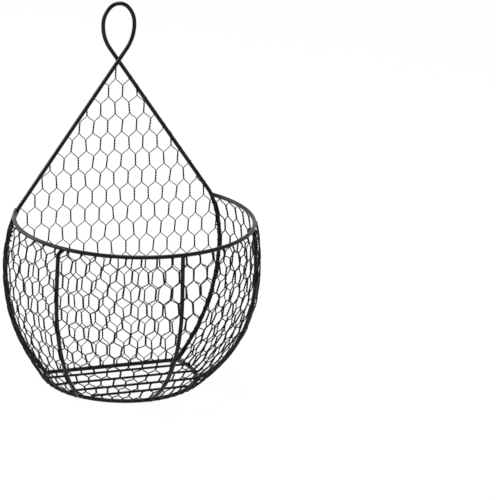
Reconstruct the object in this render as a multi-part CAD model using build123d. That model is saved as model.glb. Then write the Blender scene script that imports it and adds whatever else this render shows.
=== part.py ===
from build123d import *
import os
from math import acos, asin, atan2, copysign, cos, degrees, hypot, radians, sin, sqrt, tan

# Wall basket for fruit: a flat wire back with a twisted hanging eye, and a bowl of
# hexagonal wire netting that bulges forward from it. All lengths are millimetres.
# x runs across, y runs back towards the wall, z runs up from the surface it rests on.

# Wire and rod
ROD = 5.0                 # diameter of the frame, rim, base ring and ribs
FLOOR_ROD = 2.4           # diameter of the thin rods across the floor
ROD_SIDES = 6             # flat facets round a rod
WIRE = 1.1                # netting wire
TWIST = 2.2               # width of two netting wires wound round each other
WELD_GAP = 0.1            # left between rods that are welded together
NET_GAP = 0.45            # netting to the rods that it lies on

# Heights of the rod centre lines
RIM_HEIGHT = 235.5
BULGE_HEIGHT = 167.5      # where the bowl is widest
CROSSING_HEIGHT = 433.5   # where the frame rod crosses itself

# Reach of the bowl in front of the flat back, and half widths in the flat back
RIM_REACH = 237.8
RIM_HALF_WIDTH = 138.0
BASE_REACH = 140.3
BASE_HALF_WIDTH = 93.0
FRONT_BULGE = 1.2         # how far the wall stands out beyond the rim, in front
SIDE_BULGE = 15.0         # and beside the flat back

# Flat back
SHOULDER_RADIUS = 40.0    # bend of the frame rod where bowl side turns into leg
EYE_HALF_WIDTH = 21.8
EYE_WIDEST = 49.0         # height of the eye's widest place over the crossing
EYE_TOP = 76.5            # height of its top over the crossing
EYE_SHOULDER_TURN = 40.0  # degrees that the rod turns from there before the top bend
EYE_SLACK_SHARE = 0.97    # share of each eye bend's full radius, leaves straight bits

# Ribs, in degrees round the bowl from its front, at the base ring and at the rim
RIB_FEET = {"left": -53.0, "front": 3.0, "right": 67.0}
RIB_TOPS = {"left": -56.0, "front": 4.0, "right": 62.0}
HOOKED_RIBS = ("left", "right")   # these bend in under the rim, the other butts on it
RIB_HOOK_RADIUS = 6.0
RIB_HOOK_END = 2.0        # straight end of the hook

# Base
BASE_CORNER_RADIUS = 5.0
FLOOR_ROD_SHARES = (0.207, 0.41, 0.613, 0.802)   # of the base ring's reach
FLOOR_ROD_OVERHANG = 1.0  # rod ends beyond the base ring's centre line

# Netting of the flat back. A row is a line of twists, the next one half a pitch aside.
PITCH = 20.0              # from one twist to the next in a row
BACK_ROW = 24.3           # from one row of twists to the next
BACK_TWIST = 15.0         # length of a twist
BACK_FIRST_ROW = 414.5    # height of the middle of its top row
BACK_SHIFT = 6.1          # of a column of twists from the middle
LEAST_SCRAP_SHARE = 0.5   # smaller scraps of a cut flat net, in gaps, are dropped

# Netting of the wall, in lengths down the wall from the rim
WALL_COLUMNS = 34         # twists in a full row, from one side of the frame to the other
WALL_ROW = 22.2
WALL_TWIST = 15.0
COLUMN_ANGLE = 7.05       # degrees from one column to the next, in front
SHEET_TURN = 1.8          # degrees that the front of the sheet is turned to the right
WALL_TOP_STUB = 6.3       # cut twists that hang from the rim
STUB_DROP = 8.0           # how much longer they are in the middle of the front
DROP_SHARE = 0.45         # share of each side over which this fades away
WALL_FOOT_LIFT = 1.7      # netting ends this far up the wall from the base ring
PANELS = 4                # the wall netting is handled in as many panels
LEAN_POWER = 5            # keeps the frame's lean to the edges of the wall netting
DEGREES = degrees(1)      # in one radian

ROD_R = ROD / 2
BASE_HEIGHT = ROD_R
FRONT_REACH = RIM_REACH + FRONT_BULGE
SIDE_REACH = RIM_HALF_WIDTH + SIDE_BULGE
CROSSING_OFFSET = (ROD + WELD_GAP) / 2
FRAME_SLOPE = CROSSING_OFFSET / (CROSSING_HEIGHT - BASE_HEIGHT)
RIM_SEAT = RIM_HEIGHT - ROD_R - WELD_GAP
HALF_COLUMNS = 2 * WALL_COLUMNS
WALL_RISE = WALL_ROW - WALL_TWIST


# Shape of the bowl

def profile_radii(foot, widest, rim):
    """Radii of the arc from the base ring up to the widest height and of the next one."""
    out = widest - foot
    rise = BULGE_HEIGHT - BASE_HEIGHT
    back = widest - rim
    top = RIM_HEIGHT - BULGE_HEIGHT
    return (out * out + rise * rise) / (2 * out), (back * back + top * top) / (2 * back)


def profile(height, foot, widest, rim):
    """Distance of a profile of two tangent arcs from the axis, at a height."""
    low, high = profile_radii(foot, widest, rim)
    radius = low if height < BULGE_HEIGHT else high
    return widest - radius + sqrt(radius * radius - (height - BULGE_HEIGHT) ** 2)


def side_at(height):
    return profile(height, BASE_HALF_WIDTH, SIDE_REACH, RIM_HALF_WIDTH)


def front_at(height):
    return profile(height, BASE_REACH, FRONT_REACH, RIM_REACH)


def section(height):
    """Radius and centre distance of the circle through front and sides at a height."""
    front = front_at(height)
    behind = side_at(height) ** 2 / front
    return (front + behind) / 2, (front - behind) / 2


def bowl_point(height, angle):
    """Point on the middle surface of the rods, angle in radians from the front."""
    radius, centre = section(height)
    return Vector(radius * sin(angle), -centre - radius * cos(angle), height)


def edge_angle(height):
    """Angle at which the bowl meets the flat back."""
    radius, centre = section(height)
    return acos(-centre / radius)


def outward(height, angle):
    """Unit normal of the bowl, pointing away from the fruit."""
    step = ROD_R / 2
    low, high = height - step, height + step
    if low < BASE_HEIGHT:
        low, high = BASE_HEIGHT, BASE_HEIGHT + ROD_R
    if high > RIM_HEIGHT:
        low, high = RIM_HEIGHT - ROD_R, RIM_HEIGHT
    up = bowl_point(high, angle) - bowl_point(low, angle)
    round_the_bowl = Vector(cos(angle), sin(angle), 0)
    return round_the_bowl.cross(up).normalized()


def frame_depth(side, height):
    """Place of the frame's strands before or behind the flat back. They lean apart."""
    return side * FRAME_SLOPE * (height - BASE_HEIGHT)


# Rods

def rod_along(edges, ridge, diameter=ROD):
    """Rod along lines and arcs in order: its section is pushed or turned along each.

    ridge is the way that one corner of the section faces at the start.
    """
    start = Plane(origin=edges[0] @ 0, x_dir=ridge, z_dir=edges[0] % 0)
    section_face = start * RegularPolygon(diameter / 2, ROD_SIDES)
    pieces = []
    for edge in edges:
        if edge.geom_type == GeomType.LINE:
            pieces.append(extrude(section_face, edge.length, dir=edge % 0))
            section_face = Pos(edge @ 1 - edge @ 0) * section_face
        else:
            middle = edge.arc_center
            axis = Axis(middle, (edge @ 0 - middle).cross(edge % 0))
            turn = edge.length / edge.radius * DEGREES
            pieces.append(revolve(section_face, axis, turn))
            section_face = section_face.rotate(axis, turn)
    return pieces[0].fuse(*pieces[1:]) if pieces[1:] else pieces[0]


def trim(one, other):
    """Length left off a rod's axis for its square end to butt on another rod's side."""
    slant = radians(one.get_angle(other))
    return ROD_R * (1 + abs(cos(slant))) / sin(slant) + WELD_GAP


def arc(middle, radius, start, end):
    """Edge along a circle, from three points of it, for a function that places angles."""
    points = [middle(radius, start + (end - start) * share / 2) for share in range(3)]
    return Edge.make_three_point_arc(*points)


def backwards(arcs):
    return [Edge.make_three_point_arc(one @ 1, one @ 0.5, one @ 0) for one in arcs[::-1]]


def rounded_corners(points, radii):
    """Straight runs through the points, joined by arcs of the given radii."""
    edges = []
    last = Vector(*points[0])
    for before, corner, after, radius in zip(points, points[1:], points[2:], radii):
        before, corner, after = Vector(*before), Vector(*corner), Vector(*after)
        come = (corner - before).normalized()
        leave = (after - corner).normalized()
        turn = radians(come.get_angle(leave))
        reach = radius * tan(turn / 2)
        start = corner - come * reach
        end = corner + leave * reach
        bisector = (leave - come).normalized()
        middle = corner + bisector * (radius / cos(turn / 2) - radius)
        edges.append(Edge.make_line(last, start))
        edges.append(Edge.make_three_point_arc(start, middle, end))
        last = end
    edges.append(Edge.make_line(last, Vector(*points[-1])))
    return edges


def shoulder():
    """Radius and centre of the frame's shoulder bend, and the angles where it starts and
    ends. Its radius is negative where the side leans in more than the leg does.
    """
    radius = profile_radii(BASE_HALF_WIDTH, SIDE_REACH, RIM_HALF_WIDTH)[1]
    lean = asin((RIM_HEIGHT - BULGE_HEIGHT) / radius)
    leg_lean = atan2(RIM_HALF_WIDTH, CROSSING_HEIGHT - RIM_HEIGHT)
    bend = copysign(SHOULDER_RADIUS, leg_lean - lean)
    centre_x = RIM_HALF_WIDTH - bend * cos(lean)
    centre_z = RIM_HEIGHT - bend * sin(lean)
    away = hypot(centre_x, CROSSING_HEIGHT - centre_z)
    up = atan2(CROSSING_HEIGHT - centre_z, -centre_x)
    return bend, centre_x, centre_z, lean, up - acos(bend / away)


def side_arcs(place, start, inset=0):
    """Arcs up one side of the flat back to the leg, at a distance inside the frame.

    place turns a distance from the middle and a height into a point, start is the
    angle of the lower arc's lower end.
    """
    low, high = profile_radii(BASE_HALF_WIDTH, SIDE_REACH, RIM_HALF_WIDTH)
    bend, bend_x, bend_z, lean, touch = shoulder()

    def around(x, z):
        return lambda radius, angle: place(x + radius * cos(angle), z + radius * sin(angle))

    return [
        arc(around(SIDE_REACH - low, BULGE_HEIGHT), low - inset, start, 0),
        arc(around(SIDE_REACH - high, BULGE_HEIGHT), high - inset, 0, lean),
        arc(around(bend_x, bend_z), bend - inset, lean, touch),
    ]


def back_frame():
    """One rod: up the bowl's side, over the crossing, round the eye and back down."""
    low = profile_radii(BASE_HALF_WIDTH, SIDE_REACH, RIM_HALF_WIDTH)[0]
    bend, bend_x, bend_z, lean, touch = shoulder()
    corner = edge_angle(BASE_HEIGHT)
    foot = -asin((BULGE_HEIGHT - BASE_HEIGHT) / low)
    foot += trim(Vector(-sin(foot), 0, cos(foot)), Vector(cos(corner), sin(corner), 0)) / low

    def strand(side):
        """Places on one half of the rod. The left one passes in front at the crossing."""
        return lambda x, z: Vector(side * x, frame_depth(side, z), z)

    leg_x = bend_x + bend * cos(touch)
    leg_z = bend_z + bend * sin(touch)
    run = leg_x / (CROSSING_HEIGHT - leg_z)
    turn = atan2(run, 1)
    side_radius = (EYE_HALF_WIDTH - EYE_WIDEST * run) / ((1 - cos(turn)) - sin(turn) * run)
    top_turn = radians(EYE_SHOULDER_TURN)
    rise = EYE_TOP - EYE_WIDEST
    share = (1 - cos(top_turn)) * (1 - sin(top_turn)) - cos(top_turn) * sin(top_turn)
    top_radius = ((1 - cos(top_turn)) * rise - sin(top_turn) * EYE_HALF_WIDTH) / share
    shoulder_radius = (EYE_HALF_WIDTH - cos(top_turn) * top_radius) / (1 - cos(top_turn))
    low_corner = CROSSING_HEIGHT + EYE_HALF_WIDTH / run
    high_corner = CROSSING_HEIGHT + EYE_WIDEST + shoulder_radius * tan(top_turn / 2)
    apex = high_corner + EYE_HALF_WIDTH / tan(top_turn)
    step = frame_depth(-1, low_corner)
    corners = [
        strand(-1)(leg_x, leg_z),
        (EYE_HALF_WIDTH, step, low_corner),
        (EYE_HALF_WIDTH, step / 2, high_corner),
        (0, 0, apex),
        (-EYE_HALF_WIDTH, -step / 2, high_corner),
        (-EYE_HALF_WIDTH, -step, low_corner),
        strand(1)(leg_x, leg_z),
    ]
    radii = [side_radius, shoulder_radius, top_radius, shoulder_radius, side_radius]
    eye = rounded_corners(corners, [radius * EYE_SLACK_SHARE for radius in radii])
    left, right = side_arcs(strand(-1), foot), side_arcs(strand(1), foot)
    return rod_along(left + eye + backwards(right), Vector(0, 1, 0))


def ring_point(height):
    """Function that places a radius and an angle on the bowl's level at a height."""
    centre = section(height)[1]
    return lambda r, angle: Vector(r * sin(angle), -centre - r * cos(angle), height)


def rim_ring():
    """Arc whose ends butt on the strands of the frame."""
    radius, centre = section(RIM_HEIGHT)
    lean = shoulder()[3]
    ends = [acos(-(centre + frame_depth(side, RIM_HEIGHT)) / radius) for side in (-1, 1)]
    left_off = trim(Vector(-sin(lean), 0, cos(lean)), Vector(cos(ends[1]), sin(ends[1]), 0))
    span = arc(ring_point(RIM_HEIGHT), radius, left_off / radius - ends[0], ends[1] - left_off / radius)
    return rod_along([span], Vector(0, 0, 1))


def base_ring():
    """Closed rod, straight along the flat back."""
    radius, centre = section(BASE_HEIGHT)
    fillet = BASE_CORNER_RADIUS
    corner_x = sqrt((radius - fillet) ** 2 - (centre - fillet) ** 2)
    touch = atan2(corner_x, fillet - centre)

    def corner(side):
        return lambda r, angle: Vector(
            side * (corner_x + r * sin(angle)), -fillet - r * cos(angle), BASE_HEIGHT)

    back = [Vector(side * corner_x, 0, BASE_HEIGHT) for side in (-1, 1)]
    edges = [
        Edge.make_line(*back),
        arc(corner(1), fillet, radians(180), touch),
        arc(ring_point(BASE_HEIGHT), radius, touch, -touch),
        arc(corner(-1), fillet, touch, radians(180)),
    ]
    return rod_along(edges, Vector(0, 0, 1))


def rib(name):
    """Rod in the upright plane through its foot on the base ring and its top."""
    foot = bowl_point(BASE_HEIGHT, radians(RIB_FEET[name]))
    top = bowl_point(RIM_HEIGHT, radians(RIB_TOPS[name]))
    rim_run = hypot(top.X - foot.X, top.Y - foot.Y)
    way = Vector(top.X - foot.X, top.Y - foot.Y, 0) / rim_run
    radius, centre = section(BULGE_HEIGHT)
    across = foot.X * way.X + (foot.Y + centre) * way.Y
    start = foot.X ** 2 + (foot.Y + centre) ** 2 - radius ** 2
    run = sqrt(across * across - start) - across
    low, high = profile_radii(0, run, rim_run)

    def around(s, z):
        return lambda r, angle: (
            Vector(foot.X, foot.Y, 0) + way * (s + r * cos(angle))
            + Vector(0, 0, z + r * sin(angle)))

    lower = -asin((BULGE_HEIGHT - BASE_HEIGHT) / low)
    ring_way = Vector(cos(radians(RIB_FEET[name])), sin(radians(RIB_FEET[name])), 0)
    rib_way = way * -sin(lower) + Vector(0, 0, cos(lower))
    lower += trim(rib_way, ring_way) / low
    edges = [arc(around(run - low, BULGE_HEIGHT), low, lower, 0)]
    if name in HOOKED_RIBS:
        bend = RIB_HOOK_RADIUS
        seat = RIM_SEAT - ROD_R - bend
        upper = asin((seat - BULGE_HEIGHT) / (high - bend))
        hook_run = run - high + (high - bend) * cos(upper)
        hook = around(hook_run, seat)
        edges.append(arc(around(run - high, BULGE_HEIGHT), high, 0, upper))
        edges.append(arc(hook, bend, upper, radians(90)))
        end = hook(bend, radians(90))
        edges.append(Edge.make_line(end, end - way * RIB_HOOK_END))
    else:
        upper = asin((RIM_SEAT - BULGE_HEIGHT) / high)
        edges.append(arc(around(run - high, BULGE_HEIGHT), high, 0, upper))
    return rod_along(edges, (edges[0] % 0).cross(way.cross(Vector(0, 0, 1))))


def floor_rod(place):
    """Thin straight rod that lies across the base ring."""
    radius, centre = section(BASE_HEIGHT)
    half = sqrt(radius ** 2 - (place - centre) ** 2) + FLOOR_ROD_OVERHANG
    height = ROD + WELD_GAP + FLOOR_ROD / 2
    along = Plane(origin=(-half, -place, height), x_dir=(0, 0, 1), z_dir=(1, 0, 0))
    return extrude(along * RegularPolygon(FLOOR_ROD / 2, ROD_SIDES), 2 * half)


# Flat netting

def gap(pitch, row, twist):
    """Six-sided gap of the netting, between two twists of a row."""
    wide = (pitch - TWIST) / 2
    slant = (row - twist) / (pitch / 2)
    tip = row - twist / 2 - WIRE / 2 * hypot(1, slant)
    half = [(0, tip), (wide, tip - slant * wide), (wide, slant * wide - tip)]
    return make_face(Polyline(*half, *[(-x, -y) for x, y in half], close=True))


def cut_net(sheet, pitch, row, twist, knot):
    """Flat sheet with gaps cut all over it. The knot is the middle of one twist."""
    one = gap(pitch, row, twist)
    reach = int(sheet.bounding_box().diagonal / (pitch / 2))
    grid = Pos(*knot)
    gaps = []
    for line in range(-reach, reach):
        for column in range(-reach, reach):
            if (line + column) % 2:
                place = grid * Pos(column * pitch / 2, line * row)
                if sheet.distance_to(Vertex(*place.position)) < row:
                    gaps.append(place * one)
    least = LEAST_SCRAP_SHARE * one.area
    return [piece for piece in (sheet - gaps).faces() if piece.area > least]


def inside_frame(inset):
    """Flat face inside the frame and over the base ring, this far from their middles."""
    bend, bend_x, bend_z, lean, touch = shoulder()
    low = profile_radii(BASE_HALF_WIDTH, SIDE_REACH, RIM_HALF_WIDTH)[0]
    bottom = BASE_HEIGHT + inset
    start = -asin((BULGE_HEIGHT - bottom) / (low - inset))
    leg_x = bend_x + (bend - inset) * cos(touch)
    leg_z = bend_z + (bend - inset) * sin(touch)
    tip = leg_z + leg_x / tan(touch)
    foot = SIDE_REACH - low + (low - inset) * cos(start)
    edges = [Edge.make_line((-foot, bottom), (foot, bottom))]
    for side in (-1, 1):
        edges += side_arcs(lambda x, z: Vector(side * x, z), start, inset)
        edges.append(Edge.make_line((side * leg_x, leg_z), (0, tip)))
    return make_face(edges)


def back_net():
    """Netting inside the flat back, from the base ring up to the crossing."""
    inset = ROD_R + NET_GAP
    knot = (BACK_SHIFT - PITCH / 2, BACK_FIRST_ROW)
    upright = Plane(origin=(0, WIRE / 2, 0), x_dir=(1, 0, 0), z_dir=(0, -1, 0))
    net = cut_net(inside_frame(inset), PITCH, BACK_ROW, BACK_TWIST, knot)
    return Compound([extrude(upright * piece, WIRE) for piece in net])


# Netting of the wall

def mean_profile():
    """Radii of the profile midway between front and side, and its lean at the rim."""
    foot = (BASE_HALF_WIDTH + BASE_REACH) / 2
    widest = (SIDE_REACH + FRONT_REACH) / 2
    low, high = profile_radii(foot, widest, (RIM_HALF_WIDTH + RIM_REACH) / 2)
    return low, high, asin((RIM_HEIGHT - BULGE_HEIGHT) / high)


def height_along(down):
    """Height at a length down the wall from the rim, on its mean profile."""
    low, high, lean = mean_profile()
    if down < high * lean:
        return BULGE_HEIGHT + high * sin(lean - down / high)
    return BULGE_HEIGHT - low * sin(down / low - lean * high / low)


def wall_length():
    """Length down the mean profile, from the rim to the base ring."""
    low, high, lean = mean_profile()
    return high * lean + low * asin((BULGE_HEIGHT - BASE_HEIGHT) / low)


def wall_rows():
    """Full rows that fit between the cut twists at the rim and at the base ring."""
    cut = WALL_TOP_STUB + STUB_DROP + WALL_RISE + WALL_FOOT_LIFT
    return int((wall_length() - cut) / WALL_ROW)


def side_share(step):
    """From -1 at the frame's left strand over 0 in front to 1 at its right strand."""
    return 2 * step / HALF_COLUMNS - 1


def column_angle(step, height):
    """Even columns in front, which close up towards the frame."""
    share, edge = side_share(step), edge_angle(height)
    even = radians(COLUMN_ANGLE) * WALL_COLUMNS / 2 / edge
    turn = radians(SHEET_TURN) * (1 - share * share)
    return edge * (even * share + (1 - even) * share ** 3) + turn


def top_stub(step):
    """Length of the cut twist under the rim, in front longer than at the sides."""
    share = min(abs(side_share(step)) / DROP_SHARE, 1)
    return WALL_TOP_STUB + STUB_DROP * cos(radians(90) * share) ** 2


def net_point(step, down):
    """Place on the netting's outside, half columns round from the frame's left strand."""
    height = height_along(down)
    share = side_share(step)
    angle = column_angle(step, height)
    out = outward(height, angle) * (ROD_R + NET_GAP + WIRE)
    lean = frame_depth(1, height) * share ** LEAN_POWER
    return bowl_point(height, angle) + out + Vector(0, lean, 0)


def outside_and_edges(step, down, beside, fork):
    """Point on the ridge of the netting, two inside it at the edges of a twist, a fork.

    beside and fork are the lengths down the wall by which the inside points are off.
    """
    point = net_point(step, down)
    across = net_point(step + 1, down) - net_point(step - 1, down)
    fall = (net_point(step, down + WIRE) - net_point(step, down - WIRE)).normalized()
    inside = point + across.cross(fall).normalized() * WIRE
    side = across.normalized() * (TWIST / 2)
    return {
        "out": point,
        "left": inside - side + fall * beside,
        "right": inside + side + fall * beside,
        "fork": inside + fall * fork,
    }


def junction(step, row, foot):
    """Where a twist parts into two wires, at its foot if foot is 1 or its top if -1.

    Its fork is between the two wires.
    """
    down = top_stub(step) + row * WALL_ROW - (WALL_TWIST if foot < 0 else 0)
    half = (net_point(step + 1, down) - net_point(step - 1, down)).length / 2
    reach = WIRE / 2 * hypot(half, WALL_RISE) / half
    beside = TWIST / 2 * WALL_RISE / half - reach
    return outside_and_edges(step, down, foot * beside, foot * reach)


def wire_faces(start, end, left, right):
    """Sides of a wire as six triangles, its ridge outside and its flat side inside.

    left and right name the inside points on each hand at the start and at the end,
    for someone outside who looks from the start to the end.
    """
    a, b = start["out"], end["out"]
    left_a, left_b = start[left[0]], end[left[1]]
    right_a, right_b = start[right[0]], end[right[1]]
    return [
        (a, b, left_b), (a, left_b, left_a),
        (a, right_a, right_b), (a, right_b, b),
        (left_a, left_b, right_b), (left_a, right_b, right_a),
    ]


def panel_triangles(first, last):
    """Closed skin of the netting from one half column to another.

    It has the twists on its last half column, those on its first belong next door, and
    the outermost half columns have none, because the wires there end at the frame.
    """
    faces = []
    rows = wall_rows()
    held = range(first + 1, min(last, HALF_COLUMNS - 1) + 1)

    def close(end, one, two):
        faces.append((end["out"], end[one], end[two]))

    for row in range(rows + 2):
        for step in held:
            if (step + row) % 2 == 0:
                continue
            if row == 0:
                top = outside_and_edges(step, 0, 0, 0)
                close(top, "right", "left")
            else:
                top = junction(step, row, -1)
                faces.append((top["fork"], top["right"], top["left"]))
            if row > rows:
                foot = outside_and_edges(step, wall_length() - WALL_FOOT_LIFT, 0, 0)
                close(foot, "left", "right")
            else:
                foot = junction(step, row, 1)
                faces.append((foot["left"], foot["right"], foot["fork"]))
            faces += wire_faces(foot, top, ("left", "left"), ("right", "right"))
            if step == last and row > 0:
                close(top, "right", "fork")
            if step == last and row <= rows:
                close(foot, "fork", "right")

    for row in range(rows + 1):
        for step in range(first, last):
            rightwards = (step + row) % 2 == 1
            here, there = (step, step + 1) if rightwards else (step + 1, step)
            upper, lower = junction(here, row, 1), junction(there, row + 1, -1)
            left = ("right", "fork") if rightwards else ("fork", "right")
            right = ("fork", "left") if rightwards else ("left", "fork")
            faces += wire_faces(upper, lower, left, right)
            if here not in held:
                close(upper, left[0], right[0])
            if there not in held:
                close(lower, right[1], left[1])
    return faces


def wall_net(panel):
    """One panel of the wall netting."""
    skin = panel_triangles(*[HALF_COLUMNS * edge // PANELS for edge in (panel, panel + 1)])
    return Solid(Shell([Face(Wire.make_polygon(corners)) for corners in skin]))


if __name__ == "__main__":
    os.makedirs("parts", exist_ok=True)
    parts = {
        "back_frame": back_frame(),
        "rim_ring": rim_ring(),
        "base_ring": base_ring(),
        "back_net": back_net(),
    }
    for name in RIB_FEET:
        parts["rib_" + name] = rib(name)
    for number, share in enumerate(FLOOR_ROD_SHARES, 1):
        parts["floor_rod_" + str(number)] = floor_rod(share * BASE_REACH)
    for panel in range(PANELS):
        parts["wall_net_" + str(panel + 1)] = wall_net(panel)
    whole = Compound(list(parts.values())).bounding_box()
    shift = Pos(-whole.center().X, -whole.center().Y, -whole.min.Z)
    print("moved by", shift.position, "size", whole.size)
    for name, solid in parts.items():
        print(name, solid.volume, solid.bounding_box())
        export_step(shift * solid, "parts/" + name + ".step")
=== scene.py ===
# %% [markdown]
# # A wall basket for fruit, in coated wire
#
# The real basket is a flat wire back that hangs by a twisted eye, and a round bowl
# that grows out of it. Thick rods make the outline, and hexagonal wire netting closes
# the back and the bowl. All of it has a satin black coat.
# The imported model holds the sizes. This lesson loads it, and gives it round rods,
# real netting of twisted wire pairs, wrapped wire ends, weld beads and the coat.

# %% Load the fixed frame
import random
from collections import namedtuple
from math import acos, asin, atan2, cos, degrees, exp, hypot, pi, radians, sin, sqrt, tan

import bpy
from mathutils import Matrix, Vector


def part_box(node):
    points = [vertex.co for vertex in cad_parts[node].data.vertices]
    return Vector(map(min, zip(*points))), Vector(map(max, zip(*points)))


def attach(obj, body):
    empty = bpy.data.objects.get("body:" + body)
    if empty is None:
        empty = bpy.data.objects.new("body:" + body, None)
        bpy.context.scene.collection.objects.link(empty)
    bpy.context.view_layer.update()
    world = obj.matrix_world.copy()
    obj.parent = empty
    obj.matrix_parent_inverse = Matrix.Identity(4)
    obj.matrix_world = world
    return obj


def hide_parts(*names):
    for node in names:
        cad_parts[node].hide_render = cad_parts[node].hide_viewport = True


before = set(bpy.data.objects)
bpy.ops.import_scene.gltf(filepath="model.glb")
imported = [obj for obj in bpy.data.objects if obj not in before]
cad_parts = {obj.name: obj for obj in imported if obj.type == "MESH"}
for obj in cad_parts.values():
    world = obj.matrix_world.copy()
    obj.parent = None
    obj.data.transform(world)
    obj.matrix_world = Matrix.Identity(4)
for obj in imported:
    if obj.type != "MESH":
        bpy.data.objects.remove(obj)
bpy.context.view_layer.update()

# %% [markdown]
# ## The sizes that everything follows
#
# A maker of such a basket bends rods to a drawing. The same few sizes that drew the
# solid model are written down again, so that the wires of this scene land on the same
# bowl. Rods and wires are drawn thicker, nearer to the bold lines of the photograph, and
# a few bends follow the real basket where it strays from the drawing. Blender works in
# metres, so each length is a number of millimetres times MM.

# %% Sizes of the rods and the bowl
MM = 0.001
SOLID_ROD, SOLID_ROD_SIDES = 5.0 * MM, 6
ROD = 5.4 * MM

RIM_HEIGHT = 235.5 * MM
BULGE_HEIGHT = 167.5 * MM
CROSSING_HEIGHT = 433.5 * MM
BASE_HEIGHT = ROD / 2

RIM_REACH, RIM_HALF_WIDTH = 237.8 * MM, 138.0 * MM
BASE_REACH, BASE_HALF_WIDTH = 140.3 * MM, 93.0 * MM
FRONT_BULGE, SIDE_BULGE = 1.2 * MM, 15.0 * MM
FRONT_REACH = RIM_REACH + FRONT_BULGE
SIDE_REACH = RIM_HALF_WIDTH + SIDE_BULGE

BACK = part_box("base_ring")[1].y - SOLID_ROD / 2 * cos(pi / SOLID_ROD_SIDES)
print("flat back at y =", round(BACK / MM, 2), "mm")

# %% [markdown]
# ## The bowl as a rule
#
# Seen from above, every level of the bowl is a part of a circle that passes through
# the front and both sides. Seen from the side, its wall is two arcs that meet where it
# is widest. Two small functions are enough to place anything on it: give a height and
# an angle round the bowl, and get a point. Modelling the wall as a surface and
# projecting onto it would work too, but a rule is exact and quick.

# %% Points and directions on the bowl
PROBE = ROD / 4


def profile_radii(foot, widest, rim):
    """Radii of the two arcs of a profile, below and above its widest level."""
    out, rise = widest - foot, BULGE_HEIGHT - BASE_HEIGHT
    back, top = widest - rim, RIM_HEIGHT - BULGE_HEIGHT
    return (out * out + rise * rise) / (2 * out), (back * back + top * top) / (2 * back)


def profile(height, foot, widest, rim):
    """How far out a profile is at a height."""
    low, high = profile_radii(foot, widest, rim)
    radius = low if height < BULGE_HEIGHT else high
    return widest - radius + sqrt(radius * radius - (height - BULGE_HEIGHT) ** 2)


def circle_at(height):
    """Radius of the bowl's circle at a height, and its centre's distance from the back."""
    front = profile(height, BASE_REACH, FRONT_REACH, RIM_REACH)
    behind = profile(height, BASE_HALF_WIDTH, SIDE_REACH, RIM_HALF_WIDTH) ** 2 / front
    return (front + behind) / 2, (front - behind) / 2


def bowl_point(height, angle, proud=0.0):
    """A point of the bowl, or one that stands proud of it."""
    radius, centre = circle_at(height)
    point = Vector((radius * sin(angle), BACK - centre - radius * cos(angle), height))
    return point + outward(height, angle) * proud if proud else point


def outward(height, angle):
    """The way that faces off the bowl, from two of its points, one above the other."""
    low = max(BASE_HEIGHT, min(height, RIM_HEIGHT - PROBE) - PROBE)
    high = low + 2 * PROBE
    up = bowl_point(min(high, RIM_HEIGHT), angle) - bowl_point(low, angle)
    return Vector((cos(angle), sin(angle), 0)).cross(up).normalized()


def edge_angle(height):
    """Angle round the bowl where its circle meets the flat back."""
    radius, centre = circle_at(height)
    return acos(-centre / radius)


for height in (BASE_HEIGHT, BULGE_HEIGHT, RIM_HEIGHT):
    reached = round(degrees(edge_angle(height)), 1)
    print("level", round(height / MM, 1), "reaches round", reached, "degrees each way")

# %% [markdown]
# ## One way to write nodes
#
# Geometry and material trees are both drawn from Python below. One class holds a tree
# and makes any node in it, and one class wraps a socket, so that a sum of sockets can
# be written as a sum. That keeps each tree as short as its idea.

# %% A tree and its sockets
class Value:
    """A socket that sums understand: each operator adds its Math node."""

    def __init__(self, sheet, socket):
        self.sheet, self.socket = sheet, socket

    def maths(self, operation, first, second):
        return self.sheet.node("ShaderNodeMath", {"operation": operation}, {0: first, 1: second})

    def __add__(self, other):
        return self.maths("ADD", self, other)

    def __sub__(self, other):
        return self.maths("SUBTRACT", self, other)

    def __rsub__(self, other):
        return self.maths("SUBTRACT", other, self)

    def __mul__(self, other):
        return self.maths("MULTIPLY", self, other)

    __radd__, __rmul__ = __add__, __mul__


class Sheet:
    """A node tree, with one method that makes any node."""

    def __init__(self, tree):
        self.tree = tree
        tree.nodes.clear()

    def node(self, kind, settings=None, inputs=None, output=0):
        made = self.tree.nodes.new(kind)
        for name, value in (settings or {}).items():
            setattr(made, name, value)
        for name, value in (inputs or {}).items():
            if isinstance(value, Value):
                self.tree.links.new(value.socket, made.inputs[name])
            else:
                made.inputs[name].default_value = value
        return Value(self, made.outputs[output]) if made.outputs else made


def shape_tree(name, **inputs):
    """A geometry tree with the named inputs, and those inputs as values."""
    tree = bpy.data.node_groups.new(name, "GeometryNodeTree")
    tree.interface.new_socket("Geometry", in_out="OUTPUT", socket_type="NodeSocketGeometry")
    tree.interface.new_socket("Guide", in_out="INPUT", socket_type="NodeSocketGeometry")
    for label, start in inputs.items():
        kind = {int: "NodeSocketInt", float: "NodeSocketFloat"}.get(type(start), "NodeSocketMaterial")
        socket = tree.interface.new_socket(label, in_out="INPUT", socket_type=kind)
        if start is not None:
            socket.default_value = start
    sheet = Sheet(tree)
    first = tree.nodes.new("NodeGroupInput")
    return sheet, {socket.name: Value(sheet, socket) for socket in first.outputs if socket.name}


def close_tree(sheet, geometry, finish):
    """Real geometry, smooth, in its finish: the end of every tree here."""
    real = sheet.node("GeometryNodeRealizeInstances", inputs={0: geometry})
    smooth = sheet.node("GeometryNodeSetShadeSmooth", inputs={0: real})
    coated = sheet.node("GeometryNodeSetMaterial", inputs={0: smooth, "Material": finish})
    sheet.node("NodeGroupOutput", inputs={0: coated})
    return sheet.tree


print("node helpers ready")

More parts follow.
